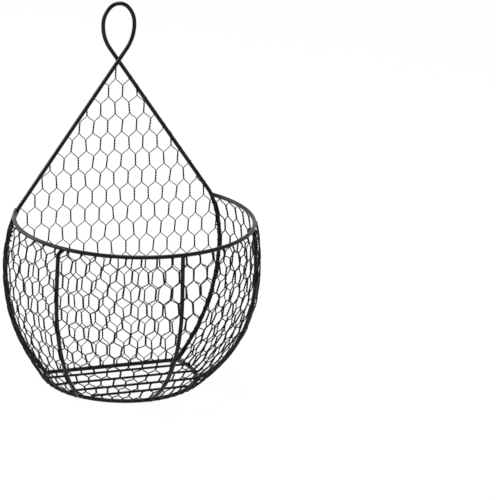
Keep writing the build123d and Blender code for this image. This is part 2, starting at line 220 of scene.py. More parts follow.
# %% [markdown]
# ## The coat
#
# The real finish is read as black powder, sprayed on dry and baked. It melts into a
# satin skin with a faint orange-peel surface, and it gathers a little thicker here and
# there. The colour is nearly constant, so most of the look is in the roughness and in
# two bumps: one fine, for the grain of the powder, and one wider, for the peel. The
# netting gets the same coat, duller and rougher, as if thin wire held less powder.

# %% Materials
CLOUD, GRAIN = 18.0 * MM, 0.35 * MM
CLOUD_SHARE, PEEL_SHARE = 0.6, 0.7
BUMP_STRENGTH, BUMP_DEPTH = 0.35, 0.12 * MM
BLUE_TRACE = 0.001


def black(level):
    """A near black with a trace of blue."""
    return (level, level, level + BLUE_TRACE, 1)


def coat(name, dark, light, smooth, rough, shine, peel):
    """A coat between two levels of black and two of roughness, with bumps as wide as its peel."""
    material = bpy.data.materials.new(name)
    material.use_nodes = True
    sheet = Sheet(material.node_tree)
    place = sheet.node("ShaderNodeTexCoord", output="Object")

    def noise(size, detail):
        return sheet.node("ShaderNodeTexNoise", inputs={
            "Vector": place, "Scale": 1 / size, "Detail": detail})

    clouds, grain, wide = noise(CLOUD, 2.0), noise(GRAIN, 2.0), noise(peel, 1.0)
    shade = sheet.node("ShaderNodeMix", {"data_type": "RGBA"}, {
        0: clouds, 6: black(dark), 7: black(light)}, output=2)
    roughness = smooth + (rough - smooth) * (clouds * CLOUD_SHARE + grain * (1 - CLOUD_SHARE))
    relief = wide * PEEL_SHARE + grain * (1 - PEEL_SHARE)
    bump = sheet.node("ShaderNodeBump", inputs={
        "Strength": BUMP_STRENGTH, "Distance": BUMP_DEPTH, "Height": relief})
    body = sheet.node("ShaderNodeBsdfPrincipled", inputs={
        "Base Color": shade, "Roughness": roughness, "Specular IOR Level": shine, "Normal": bump})
    sheet.node("ShaderNodeOutputMaterial", inputs={"Surface": body})
    return material


rod_coat = coat(
    "black powder coat", dark=0.003, light=0.007, smooth=0.27, rough=0.35, shine=0.21, peel=1.4 * MM)
net_coat = coat(
    "black netting coat", dark=0.004, light=0.008, smooth=0.42, rough=0.54, shine=0.08, peel=0.9 * MM)
print("finishes:", rod_coat.name, "and", net_coat.name)

# %% [markdown]
# ## From a line to a rod
#
# A rod is a line with a thickness. Python places the points of the line, as edges of a
# mesh, and a small Geometry Nodes tree turns any such line into a tube: mesh to curve,
# then a circle swept along it. Its diameter and its sides are inputs, so thick and thin
# rods share one tree.

# %% The rod tree
ROD_SIDES = 24


def tube_along(sheet, curve, sides, diameter):
    """A round tube: a circle swept along a curve, with closed ends."""
    circle = sheet.node("GeometryNodeCurvePrimitiveCircle", inputs={
        "Resolution": sides, "Radius": diameter * 0.5})
    return sheet.node("GeometryNodeCurveToMesh", inputs={0: curve, 1: circle, "Fill Caps": True})


def guide_mesh(name, lines, closed=False):
    """A mesh of plain edges: each line is a list of points."""
    points, edges = [], []
    for line in lines:
        first = len(points)
        points += [tuple(point) for point in line]
        edges += [(first + n, first + n + 1) for n in range(len(line) - 1)]
        if closed:
            edges.append((len(points) - 1, first))
    mesh = bpy.data.meshes.new(name)
    mesh.from_pydata(points, edges, [])
    return mesh


sheet, given = shape_tree("rod along a line", Diameter=ROD, Sides=ROD_SIDES, Finish=None)
curve = sheet.node("GeometryNodeMeshToCurve", inputs={0: given["Guide"]})
tube = tube_along(sheet, curve, given["Sides"], given["Diameter"])
rod_tree = close_tree(sheet, tube, given["Finish"])
print("tree:", rod_tree.name)

# %% [markdown]
# ## Every piece, settled
#
# A basket that was bent and welded by hand is never quite even. The real one leans
# aside a little behind, and its rim has dropped a little in front. Redrawing every rod
# for that would hide the drawing's own sizes, so each finished piece is eased by one
# small rule instead, and what touches still touches.

# %% The maker of pieces
LEAN_ASIDE, LEAN_HEIGHT, LEAN_SPREAD = 2.3 * MM, 103.0 * MM, 88.0 * MM
LEAN_HEIGHT_STEP, LEAN_SPREAD_STEP = 27.0 * MM, 22.0 * MM
RIM_DROP = 1.2 * MM


def settle(mesh):
    """Lean a piece aside near the back, and lower it towards the front of the rim."""
    for vertex in mesh.vertices:
        depth = (BACK - vertex.co.y) / FRONT_REACH
        side = vertex.co.x / SIDE_REACH
        above = vertex.co.z - LEAN_HEIGHT - LEAN_HEIGHT_STEP * side
        bulge = exp(-(above / (LEAN_SPREAD + LEAN_SPREAD_STEP * side)) ** 2)
        vertex.co.x -= LEAN_ASIDE * bulge * (1 - depth) ** 2
        vertex.co.z -= RIM_DROP * max(0, depth) * min(1, vertex.co.z / RIM_HEIGHT) ** 2


def shaped(name, guide, tree, slot, nodes=(), **sizes):
    """A finished plain mesh from a guide and a tree, tied to the frame."""
    piece = bpy.data.objects.new(name.replace(" ", "_"), guide)
    bpy.context.scene.collection.objects.link(piece)
    step = piece.modifiers.new("shape", "NODES")
    step.node_group = tree
    for item in tree.interface.items_tree:
        if item.name in sizes:
            step[item.identifier] = sizes[item.name]
    result = piece.evaluated_get(bpy.context.evaluated_depsgraph_get())
    mesh = bpy.data.meshes.new_from_object(result)
    piece.modifiers.remove(step)
    settle(mesh)
    piece.data = mesh
    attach(piece, "root")
    if nodes:
        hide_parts(*nodes)
    lowest = min(point.co.z for point in mesh.vertices)
    print(name, "has", len(mesh.polygons), "faces, lowest at", round(lowest / MM, 2), "mm")


def rod(name, line, node, diameter=ROD, closed=False):
    """A coated rod along a line, in place of one node of the frame."""
    guide = guide_mesh(name, [line], closed)
    shaped(name, guide, rod_tree, "coated_rod", [node], Diameter=diameter, Finish=rod_coat)


print("pieces lean aside by about", round(LEAN_ASIDE / MM, 1), "mm and drop by", round(RIM_DROP / MM, 1))

# %% [markdown]
# ## Bends
#
# Every rod here is straight runs and round bends, as if it was bent on pegs. One
# function walks along an arc, and one rounds the corners of a path. The step between
# points is small enough for the tube to look smooth when it is seen close.

# %% Arcs and rounded corners
BEND_STEP, FINE_STEP, RING_STEP = radians(3), radians(1.5), radians(2)
FEWEST_RUNS = 2


def arc(place, radius, start, end, step=BEND_STEP):
    """Points along an arc, from a function that places a radius and an angle."""
    count = max(FEWEST_RUNS, round(abs(end - start) / step))
    return [place(radius, start + (end - start) * n / count) for n in range(count + 1)]


def rounded(points, radii):
    """A path whose corners are round bends."""
    line = [points[0]]
    for before, corner, after, radius in zip(points, points[1:], points[2:], radii):
        come, leave = (corner - before).normalized(), (after - corner).normalized()
        turn = come.angle(leave)
        middle = corner + (leave - come).normalized() * (radius / cos(turn / 2))
        start = corner - come * radius * tan(turn / 2) - middle
        side = come * radius
        line += arc(lambda r, a: middle + start * cos(a) + side * sin(a), radius, 0, turn)
    return line + [points[-1]]


print("a bend of a right angle has", len(arc(lambda r, a: a, 1, 0, pi / 2)), "points")

# %% [markdown]
# ## The hanging frame
#
# One rod starts at the back corner of the base, follows the side of the bowl, bends in
# over the shoulder, crosses the middle and comes back round the eye. Its halves pass
# each other at the crossing, so each leans away from the wall's plane by half a rod.
# The left half passes in front, as on the real one.

# %% The shoulder bend
WELD_GAP = 0.1 * MM
SEAT = (ROD + WELD_GAP) / 2
FRAME_SLOPE = SEAT / (CROSSING_HEIGHT - BASE_HEIGHT)
SHOULDER_RADIUS = 40.0 * MM


def shoulder():
    """Centre of the frame's shoulder bend and the angles where it starts and ends."""
    radius = profile_radii(BASE_HALF_WIDTH, SIDE_REACH, RIM_HALF_WIDTH)[1]
    lean = asin((RIM_HEIGHT - BULGE_HEIGHT) / radius)
    x = RIM_HALF_WIDTH - SHOULDER_RADIUS * cos(lean)
    z = RIM_HEIGHT - SHOULDER_RADIUS * sin(lean)
    up = atan2(CROSSING_HEIGHT - z, -x)
    return x, z, lean, up - acos(SHOULDER_RADIUS / hypot(x, CROSSING_HEIGHT - z))


bend_x, bend_z, side_lean, touch = shoulder()
print("shoulder bend from", round(degrees(side_lean)), "to", round(degrees(touch)), "degrees")

# %% The frame rod
EYE_HALF_WIDTH, EYE_WIDEST, EYE_TOP = 21.1 * MM, 49.0 * MM, 76.5 * MM
EYE_SHOULDER_TURN = radians(40.0)
EYE_SLACK_SHARE = 0.97


def strand(side, x, z):
    """A point of one half of the frame, which leans away from the wall's plane."""
    return Vector((side * x, BACK + side * FRAME_SLOPE * (z - BASE_HEIGHT), z))


def bend(x, z):
    """Places a radius and an angle round a centre in the plane of the back."""
    return lambda r, a: (x + r * cos(a), z + r * sin(a))


def side_line(side):
    """Up one side of the flat back to the end of the shoulder bend."""
    low, high = profile_radii(BASE_HALF_WIDTH, SIDE_REACH, RIM_HALF_WIDTH)
    foot = -asin((BULGE_HEIGHT - BASE_HEIGHT) / low)
    rise = arc(bend(SIDE_REACH - low, BULGE_HEIGHT), low, foot, 0, FINE_STEP)
    rise += arc(bend(SIDE_REACH - high, BULGE_HEIGHT), high, 0, side_lean)[1:]
    rise += arc(bend(bend_x, bend_z), SHOULDER_RADIUS, side_lean, touch)[1:]
    return [strand(side, x, z) for x, z in rise]


def eye_line():
    """Over the crossing, round the eye and back, between the tops of the legs.

    The eye's radii are worked out, so that it has its width, its height and its widest
    level and each bend runs into the next one. They are then taken a little smaller,
    which leaves a short straight run between bends.
    """
    leg_x = bend_x + SHOULDER_RADIUS * cos(touch)
    leg_z = bend_z + SHOULDER_RADIUS * sin(touch)
    run = leg_x / (CROSSING_HEIGHT - leg_z)
    turn, top = atan2(run, 1), EYE_SHOULDER_TURN
    side_radius = (EYE_HALF_WIDTH - EYE_WIDEST * run) / ((1 - cos(turn)) - sin(turn) * run)
    rise = EYE_TOP - EYE_WIDEST
    share = (1 - cos(top)) * (1 - sin(top)) - cos(top) * sin(top)
    top_radius = ((1 - cos(top)) * rise - sin(top) * EYE_HALF_WIDTH) / share
    bend_radius = (EYE_HALF_WIDTH - cos(top) * top_radius) / (1 - cos(top))
    low = CROSSING_HEIGHT + EYE_HALF_WIDTH / run
    high = CROSSING_HEIGHT + EYE_WIDEST + bend_radius * tan(top / 2)
    step = FRAME_SLOPE * (low - BASE_HEIGHT)
    corners = [
        strand(-1, leg_x, leg_z),
        Vector((EYE_HALF_WIDTH, BACK - step, low)),
        Vector((EYE_HALF_WIDTH, BACK - step / 2, high)),
        Vector((0, BACK, high + EYE_HALF_WIDTH / tan(top))),
        Vector((-EYE_HALF_WIDTH, BACK + step / 2, high)),
        Vector((-EYE_HALF_WIDTH, BACK + step, low)),
        strand(1, leg_x, leg_z),
    ]
    radii = [side_radius, bend_radius, top_radius, bend_radius, side_radius]
    return rounded(corners, [radius * EYE_SLACK_SHARE for radius in radii])


frame_line = side_line(-1)[:-1] + eye_line() + side_line(1)[-2::-1]
rod("hanging frame", frame_line, "back_frame")

# %% [markdown]
# ## Rim, base ring and floor
#
# The rim is one arc whose ends are welded against the frame. On the real basket its
# left end was left a little long and springs outwards. The base ring is the same kind
# of arc, closed by a straight bar along the wall. Four thin rods lie across it as a
# floor, welded at both ends.

# %% Rim
BUTT = 0.4 * ROD
RIM_OVERRUN = 4.5 * MM
RIM_SPREAD, RIM_SPREAD_POINTS = 1.8 * MM, 9


def ring_point(height):
    """Places a radius and an angle on the bowl's circle at a height."""
    centre = circle_at(height)[1]
    return lambda r, a: Vector((r * sin(a), BACK - centre - r * cos(a), height))


rim_radius, rim_centre = circle_at(RIM_HEIGHT)
rim_end = edge_angle(RIM_HEIGHT) - BUTT / rim_radius
rim_start = -rim_end - RIM_OVERRUN / rim_radius
rim_line = arc(ring_point(RIM_HEIGHT), rim_radius, rim_start, rim_end, RING_STEP)
for number in range(RIM_SPREAD_POINTS):
    angle = atan2(rim_line[number].x, -(rim_line[number].y - BACK + rim_centre))
    spread = RIM_SPREAD * (1 - number / RIM_SPREAD_POINTS) ** 2
    rim_line[number] += Vector((sin(angle), -cos(angle), 0)) * spread
rod("rim", rim_line, "rim_ring")

# %% Base ring
BASE_CORNER_RADIUS, CORNER_STEP = 5.0 * MM, radians(12)

base_radius, base_centre = circle_at(BASE_HEIGHT)
corner_y = -BASE_CORNER_RADIUS
corner_x = sqrt((base_radius - BASE_CORNER_RADIUS) ** 2 - (corner_y + base_centre) ** 2)
corner_turn = atan2(corner_x, -(corner_y + base_centre))


def base_corner(side):
    """Places a radius and an angle round one back corner of the base ring."""
    return lambda r, a: Vector((side * (corner_x + r * sin(a)), BACK + corner_y - r * cos(a), BASE_HEIGHT))


base_line = arc(ring_point(BASE_HEIGHT), base_radius, -corner_turn, corner_turn, RING_STEP)
for side, first, last in ((1, corner_turn, pi), (-1, pi, corner_turn)):
    base_line += arc(base_corner(side), BASE_CORNER_RADIUS, first, last, CORNER_STEP)
rod("base ring", base_line[:-1], "base_ring", closed=True)

# %% Floor rods
FLOOR_ROD, FLOOR_SINK = 3.3 * MM, 0.4 * MM
FLOOR_ROD_SHARES = (0.207, 0.41, 0.613, 0.802)
FLOOR_FORWARD, FLOOR_OVERHANG = 2.5 * MM, 1.0 * MM

floor_ends = []
for number, share in enumerate(FLOOR_ROD_SHARES, 1):
    place = share * BASE_REACH + FLOOR_FORWARD
    half = sqrt(base_radius ** 2 - (place - base_centre) ** 2) + FLOOR_OVERHANG
    ends = [Vector((side * half, BACK - place, ROD - FLOOR_SINK + FLOOR_ROD / 2)) for side in (-1, 1)]
    floor_ends += ends
    rod("floor rod %d" % number, ends, "floor_rod_%d" % number, diameter=FLOOR_ROD)

# %% [markdown]
# ## Ribs
#
# Three ribs stand on the base ring and hold the rim. Each is drawn in one upright
# plane. The left and right ones bend in just under the rim and are welded to it from
# below, the front one butts on it. The real left one is bowed aside, so its line is
# pushed that way after it is drawn.

# %% Lines of the ribs
RIB_FEET = {"left": -53.0, "front": 3.0, "right": 67.0}
RIB_TOPS = {"left": -56.0, "front": 4.0, "right": 62.0}
RIB_SWAY = {"left": 4.0 * MM, "front": 0.0, "right": 0.0}
SWAY_HEIGHT_SHARE, SWAY_END_POINTS = 0.62, 9
HOOK_RADIUS, HOOK_END, HOOK_STEP = 6.0 * MM, 2.0 * MM, radians(10)


def eased(share):
    """From nought to one, with a soft start and a soft end."""
    return share * share * (3 - 2 * share)


def swayed(line, name):
    """The same line, bent aside more and more on its way up, with its end back in place."""
    side = Vector((-cos(radians(RIB_TOPS[name])), -sin(radians(RIB_TOPS[name])), 0))
    moved = []
    for number, point in enumerate(line):
        rise = min(1, max(0, (point.z - BASE_HEIGHT) / (SWAY_HEIGHT_SHARE * RIM_HEIGHT)))
        left = min(1, (len(line) - 1 - number) / SWAY_END_POINTS)
        moved.append(point + side * (RIB_SWAY[name] * eased(rise) * left))
    return moved


def rib_line(name):
    """Up the bowl in the upright plane through the rib's foot and its top."""
    foot = bowl_point(BASE_HEIGHT, radians(RIB_FEET[name]))
    top = bowl_point(RIM_HEIGHT, radians(RIB_TOPS[name]))
    reach = hypot(top.x - foot.x, top.y - foot.y)
    way = Vector(((top.x - foot.x) / reach, (top.y - foot.y) / reach, 0))
    radius, centre = circle_at(BULGE_HEIGHT)
    across = foot.x * way.x + (foot.y - BACK + centre) * way.y
    start = foot.x ** 2 + (foot.y - BACK + centre) ** 2 - radius ** 2
    run = sqrt(across * across - start) - across
    low, high = profile_radii(0, run, reach)

    def around(s, z):
        ground = Vector((foot.x, foot.y, 0))
        return lambda r, a: ground + way * (s + r * cos(a)) + Vector((0, 0, z + r * sin(a)))

    lower = -asin((BULGE_HEIGHT - BASE_HEIGHT) / low) + BUTT / low
    line = arc(around(run - low, BULGE_HEIGHT), low, lower, 0, FINE_STEP)
    seat = RIM_HEIGHT - SEAT
    if name == "front":
        upper = asin((seat - BULGE_HEIGHT) / high)
        return line + arc(around(run - high, BULGE_HEIGHT), high, 0, upper)[1:]
    seat -= ROD / 2 + HOOK_RADIUS
    upper = asin((seat - BULGE_HEIGHT) / (high - HOOK_RADIUS))
    hook = around(run - high + (high - HOOK_RADIUS) * cos(upper), seat)
    line += arc(around(run - high, BULGE_HEIGHT), high, 0, upper)[1:]
    line += arc(hook, HOOK_RADIUS, upper, pi / 2, HOOK_STEP)[1:]
    return line + [line[-1] - way * HOOK_END]


# %% Ribs
rib_lines = {name: swayed(rib_line(name), name) for name in RIB_FEET}
for name, line in rib_lines.items():
    rod(name + " rib", line, "rib_" + name)

# %% [markdown]
# ## How hexagonal netting is made
#
# A netting loom holds many wires side by side. Each wire is wound round its neighbour
# on one hand, then round the other one, and so on. Seen alone, a wire only zigzags
# between two columns. So the netting is drawn wire by wire: where it lies in a twist,
# it turns round the twist's middle, and between twists it crosses over.
# Python gives the middle line of each wire, its hand, how far the twist has turned and
# two directions to turn in. A Geometry Nodes tree winds the wire round the twist.

# %% The netting tree
BACK_WIRE, BOWL_WIRE, WIRE_SIDES = 1.2 * MM, 1.55 * MM, 6
TURNS = 2
BACK_FLATNESS, BOWL_FLATNESS = 1.0, 0.6


def attribute(sheet, name, kind):
    """A value that the guide's points carry."""
    return sheet.node("GeometryNodeInputNamedAttribute", {"data_type": kind}, {"Name": name})


def scaled(vector, factor):
    """A vector times a number."""
    return vector.sheet.node("ShaderNodeVectorMath", {"operation": "SCALE"}, {0: vector, "Scale": factor})


sheet, given = shape_tree(
    "wires wound in pairs", Wire=BACK_WIRE, Turns=TURNS, Sides=WIRE_SIDES, Flatness=BACK_FLATNESS,
    Finish=None)
turned = attribute(sheet, "turn", "FLOAT") * given["Turns"] * (2 * pi)
across = scaled(attribute(sheet, "across", "FLOAT_VECTOR"), turned.maths("COSINE", turned, 0.0))
height_of_turn = turned.maths("SINE", turned, 0.0) * given["Flatness"]
out = scaled(attribute(sheet, "out", "FLOAT_VECTOR"), height_of_turn)
both = sheet.node("ShaderNodeVectorMath", {"operation": "ADD"}, {0: across, 1: out})
wound = scaled(both, attribute(sheet, "hand", "FLOAT") * given["Wire"] * 0.5)
placed = sheet.node("GeometryNodeSetPosition", inputs={"Geometry": given["Guide"], "Offset": wound})
curve = sheet.node("GeometryNodeMeshToCurve", inputs={0: placed})
tube = tube_along(sheet, curve, given["Sides"], given["Wire"])
net_tree = close_tree(sheet, tube, given["Finish"])
print("a wire turns", TURNS, "times in a twist")

# %% A guide for the netting
Stop = namedtuple("Stop", "point hand turn across out")


def write_vectors(mesh, labels, rows):
    """Store the named vectors of each row as attributes of the mesh's points."""
    for label in labels:
        data = mesh.attributes.new(label, "FLOAT_VECTOR", "POINT").data
        data.foreach_set("vector", [part for row in rows for part in getattr(row, label)])


def net_guide(name, wires):
    """Edges along each wire, which is a list of stops."""
    mesh = guide_mesh(name, [[stop.point for stop in wire] for wire in wires])
    stops = [stop for wire in wires for stop in wire]
    for label in ("hand", "turn"):
        data = mesh.attributes.new(label, "FLOAT", "POINT").data
        data.foreach_set("value", [getattr(stop, label) for stop in stops])
    write_vectors(mesh, ("across", "out"), stops)
    return mesh


print("each stop of a wire has", ", ".join(Stop._fields))

# %% [markdown]
# ## Netting of the bowl
#
# A flat sheet of netting was stretched round the ribs and down to the base ring, so its
# rows keep the same distance all the way down, while the columns stay at nearly the
# same angles and close up towards the narrow base. Stretched between two ribs the sheet
# sags inwards, most in its lower half.

# %% Rows and columns of the bowl's netting
COLUMNS, ROWS = 34, 10
HALF_COLUMNS, ALL_ROWS = 2 * COLUMNS, ROWS + 2
COLUMN_ANGLE, SHEET_TURN = radians(7.05), radians(1.8)

wall_low, wall_high = profile_radii(
    (BASE_HALF_WIDTH + BASE_REACH) / 2, (SIDE_REACH + FRONT_REACH) / 2, (RIM_HALF_WIDTH + RIM_REACH) / 2)
wall_lean = asin((RIM_HEIGHT - BULGE_HEIGHT) / wall_high)
WALL = wall_high * wall_lean + wall_low * asin((BULGE_HEIGHT - BASE_HEIGHT) / wall_low)


def height_along(down):
    """Height of a point of the sheet, from its way down along the wall."""
    if down < wall_high * wall_lean:
        return BULGE_HEIGHT + wall_high * sin(wall_lean - down / wall_high)
    return BULGE_HEIGHT - wall_low * sin(down / wall_low - wall_lean * wall_high / wall_low)


def column_angle(step, height):
    """Even columns in front that close up a little towards the frame."""
    share, edge = 2 * step / HALF_COLUMNS - 1, edge_angle(height)
    even = COLUMN_ANGLE * COLUMNS / 2 / edge
    return edge * (even * share + (1 - even) * share ** 3) + SHEET_TURN * (1 - share ** 2)


print("wall of", round(WALL / MM, 1), "mm carries", ROWS, "full rows")

# %% Where the bowl's netting lies
SAG, SAG_POWER = 6.5 * MM, 2.0
TUCK = 7.0 * MM
WIRE_SEAT_SHARE = 0.45
EDGE_POWER, END_POWER, SLOPE_POWER = 16, 8, 5


def sag(height, angle, down):
    """How far the stretched sheet sags inwards between two ribs."""
    rise = (height - BASE_HEIGHT) / (RIM_HEIGHT - BASE_HEIGHT)
    ribs = [radians(RIB_FEET[name] + (RIB_TOPS[name] - RIB_FEET[name]) * rise) for name in RIB_FEET]
    stays = [-edge_angle(height)] + ribs + [edge_angle(height)]
    for near, far in zip(stays, stays[1:]):
        if near <= angle <= far:
            middle = sin(pi * (angle - near) / (far - near))
            return SAG * middle * sin(pi * min(1, max(0, down / WALL)) ** SAG_POWER)
    return 0.0


def wall_place(step, down):
    """Middle of the netting: outside the ribs, behind rim and base ring, beside the frame."""
    height = height_along(down)
    share = 2 * step / HALF_COLUMNS - 1
    beside = abs(share) ** EDGE_POWER * (1 - abs(2 * down / WALL - 1) ** END_POWER)
    angle = column_angle(step, height)
    angle -= beside * (ROD / 2 + BOWL_WIRE / 2) / circle_at(height)[0] * (1 if share > 0 else -1)
    tucked = max(0, 1 - min(down, WALL - down) / TUCK) ** 2
    seat = (ROD / 2 + BOWL_WIRE * WIRE_SEAT_SHARE) * (1 - beside) * (1 - tucked)
    point = bowl_point(height, angle, seat - sag(height, angle, down))
    point.y += FRAME_SLOPE * (height - BASE_HEIGHT) * share ** SLOPE_POWER
    return point


print("the sheet sags inwards by up to", round(SAG / MM, 1), "mm")

# %% [markdown]
# ## The unevenness of hand work
#
# Hands and pliers leave netting uneven. Moving each point by noise would tear the pairs
# apart, so each twist gets one small fixed wander of its own, aside, up or down and
# tilted, which its two wires share.

# %% Stops along a wire
TWIST_STEPS, FEWEST_STEPS = 16, 3
SLANT_STOPS, SLANT_BEND_SHARE = 5, 0.7
SIDE_PROBE, DOWN_PROBE = 0.1, 1.0 * MM
FALL = Vector((0, 0, -1))


def stop(place, step, down, hand, turn):
    """A stop of a wire on a surface that place(step, down) gives."""
    across = (place(step + SIDE_PROBE, down) - place(step - SIDE_PROBE, down)).normalized()
    fall = (place(step, down + DOWN_PROBE) - place(step, down - DOWN_PROBE)).normalized()
    return Stop(place(step, down), hand, turn, across, across.cross(fall).normalized())


def twist(place, step, lean, top, foot, hand, turns, count=TWIST_STEPS):
    """Stops down a twist that leans about its middle and is wound from one turn to another."""
    stops = []
    for n in range(count + 1):
        share = n / count
        turn = turns[0] + (turns[1] - turns[0]) * share
        stops.append(stop(place, step + lean * (share - 0.5), top + (foot - top) * share, hand, turn))
    return stops


def slant(one, other):
    """Stops on the crossing between the foot of a twist and the top of the next.

    The wire leaves a twist steeply and bends over to the next one.
    """
    slide = other.point - one.point
    slide -= slide.dot(FALL) * FALL
    stops = []
    for n in range(1, SLANT_STOPS + 1):
        share = n / (SLANT_STOPS + 1)
        point = one.point.lerp(other.point, share)
        point += slide * (SLANT_BEND_SHARE * (eased(share) - share))
        hand = one.hand * (1 - share) + other.hand * share
        stops.append(Stop(point, hand, 0.0, one.across, one.out))
    return stops


def carried_on(line, stops):
    """A wire with one more twist, after the slant that leads to it."""
    return line + slant(line[-1], stops[0]) + stops if line else stops


print("a twist has", TWIST_STEPS + 1, "stops and a slant", SLANT_STOPS)

# %% Wires of the bowl
ROW, TWIST = 22.2 * MM, 15.0 * MM
STUB, STUB_DROP, DROP_SHARE = 6.3 * MM, 8.0 * MM, 0.45
PITCH = 20.0 * MM
HALF_PITCH = PITCH / 2
WANDER, LEAN = 0.5 * MM, 1.8 * MM
WANDER_SEED = 7

wander = random.Random(WANDER_SEED)
WANDERS = [
    [[wander.uniform(-1, 1) for _ in range(3)] for _ in range(HALF_COLUMNS + 1)] for _ in range(ALL_ROWS)]


def stub(step):
    """Length of the cut twist under the rim, longer in the middle of the front."""
    share = abs(2 * step / HALF_COLUMNS - 1)
    return STUB + (STUB_DROP * cos(pi / 2 * share / DROP_SHARE) ** 2 if share < DROP_SHARE else 0)


def wall_wire(number):
    """A wire that zigzags between half columns number and number + 1.

    Its first twist is cut at the rim and its last one at the base ring. It is not wound
    where it runs along the frame.
    """
    line = []
    for row in range(ALL_ROWS):
        step = number if (number + row) % 2 else number + 1
        hand = 1.0 if step == number else -1.0
        aside, off, tilt = WANDERS[row][step]
        free = 0 < step < HALF_COLUMNS
        foot = stub(step) + row * ROW + (off * WANDER if row <= ROWS else 0)
        top, turns = foot - TWIST, (0.0, 1.0)
        if row == 0:
            top, turns = 0.0, (1 - foot / TWIST, 1.0)
        if row > ROWS:
            foot, turns = WALL, (0.0, (WALL - top) / TWIST)
        count = max(FEWEST_STEPS, round(TWIST_STEPS * (turns[1] - turns[0])))
        # Only a loose twist wanders aside and leans, by lengths turned into half columns.
        loose = 1 / HALF_PITCH if free and 0 < row <= ROWS else 0
        here, lean = step + aside * WANDER * loose, tilt * LEAN * loose
        shown = turns if free else (0.0, 0.0)
        line = carried_on(line, twist(wall_place, here, lean, top, foot, hand, shown, count))
    return line


print("a wire of the bowl has", len(wall_wire(0)), "stops")

# %% Four panels of the bowl's netting
PANELS = 4

for panel in range(PANELS):
    wide = HALF_COLUMNS // PANELS
    wires = [wall_wire(panel * wide + n) for n in range(wide)]
    name = "bowl netting %d" % (panel + 1)
    shaped(name, net_guide(name, wires), net_tree, "coated_netting", ["wall_net_%d" % (panel + 1)],
           Wire=BOWL_WIRE, Flatness=BOWL_FLATNESS, Finish=net_coat)

# %% [markdown]
# ## Netting of the flat back
#
# The back is the same netting, flat. Its wires are drawn long, and each one is cut
# where it meets the frame, because that is how the sheet was trimmed.

# %% The outline that cuts the back
CROSSING_CLEARANCE = 6.0 * MM

outline = [(point.x, point.z) for point in side_line(1)] + [(0.0, CROSSING_HEIGHT)]


def half_width(z):
    """Distance from the middle to the frame rod at a height, and the rod's slope."""
    for (x0, z0), (x1, z1) in zip(outline, outline[1:]):
        if z0 <= z <= z1:
            return x0 + (x1 - x0) * (z - z0) / (z1 - z0), (x1 - x0) / (z1 - z0)
    return 0.0, 0.0


def inside(point):
    """Whether a point is within the frame's middle lines, and not close under the crossing."""
    low, high = BASE_HEIGHT, CROSSING_HEIGHT - CROSSING_CLEARANCE
    return low < point.z < high and abs(point.x) < half_width(point.z)[0]


print("the back is", round(2 * half_width(RIM_HEIGHT)[0] / MM), "mm wide at the rim")

# %% Wires of the flat back
BACK_ROW, BACK_TWIST = 24.25 * MM, 15.0 * MM
BACK_FIRST_ROW, BACK_SHIFT, BACK_TILT = 414.8 * MM, 5.9 * MM, radians(0.7)
BACK_CROWDING = 1.5 * MM
BACK_ROWS, BACK_HALF_COLUMNS = 18, 18
BACK_WANDER_START, BACK_WANDER_STRIDE = 300, 5
HALVINGS, SHORTEST_RUN = 8, 5


def back_place(step, down):
    """A point of the flat sheet, whose middle columns lie further right."""
    x = BACK_SHIFT - PITCH / 2 + step * PITCH / 2
    x += BACK_CROWDING * (1 - (x / SIDE_REACH) ** 2)
    return Vector((x, BACK, BACK_FIRST_ROW - down - x * sin(BACK_TILT)))


def meeting(kept, lost):
    """The stop where a wire meets the middle of the rod, between two of its stops."""
    near, far = kept.point, lost.point
    for _ in range(HALVINGS):
        middle = (near + far) / 2
        near, far = (middle, far) if inside(middle) else (near, middle)
    return kept._replace(point=near)


def cut(line):
    """The runs of a wire inside the frame, up to the rods' middle lines, without scraps."""
    runs, run = [], []
    for before, item in zip([None] + line, line):
        if inside(item.point):
            if not run and before:
                run.append(meeting(item, before))
            run.append(item)
        elif run:
            runs.append(run + [meeting(run[-1], item)])
            run = []
    return [run for run in runs + [run] if len(run) >= SHORTEST_RUN]


def back_wire(number):
    """The runs of one wire of the back."""
    line = []
    for row in range(BACK_ROWS):
        step = number if (number + row) % 2 == 0 else number + 1
        hand = 1.0 if step == number else -1.0
        lot = (step * BACK_WANDER_STRIDE + BACK_WANDER_START) % HALF_COLUMNS
        aside, off, tilt = WANDERS[row % ALL_ROWS][lot]
        here, lean = step + aside * WANDER / HALF_PITCH, tilt * LEAN / HALF_PITCH
        top = row * BACK_ROW + off * WANDER - BACK_TWIST / 2
        line = carried_on(line, twist(back_place, here, lean, top, top + BACK_TWIST, hand, (0.0, 1.0)))
    return cut(line)


wires = [run for number in range(-BACK_HALF_COLUMNS, BACK_HALF_COLUMNS) for run in back_wire(number)]
shaped("back netting", net_guide("back netting", wires), net_tree, "coated_netting", ["back_net"],
       Wire=BACK_WIRE, Flatness=BACK_FLATNESS, Finish=net_coat)

# %% [markdown]
# ## Wrapped ends
#
# Cut netting has sharp ends. They are wound round the rod they reach, by half a turn to
# one and a quarter, and leave a small bump on it. Each could be modelled by hand, but a
# Geometry Nodes tree puts the same short coil on every such point, turned along its rod.

# %% The wrap tree
WRAP_STEPS, WRAP_RISE_SHARE = 16, 1.05
Wrap = namedtuple("Wrap", "place along facing")


def wrap_guide(name, wraps):
    """Points on the rods' middle lines, each with a way along the rod and a way to face."""
    mesh = bpy.data.meshes.new(name)
    mesh.from_pydata([tuple(wrap.place) for wrap in wraps], [], [])
    write_vectors(mesh, ("along", "facing"), wraps)
    return mesh


def turned_along(sheet):
    """A rotation that lays a copy's Z axis along its rod."""
    return sheet.node("FunctionNodeAlignRotationToVector", {"axis": "Z"}, {
        "Vector": attribute(sheet, "along", "FLOAT_VECTOR")})


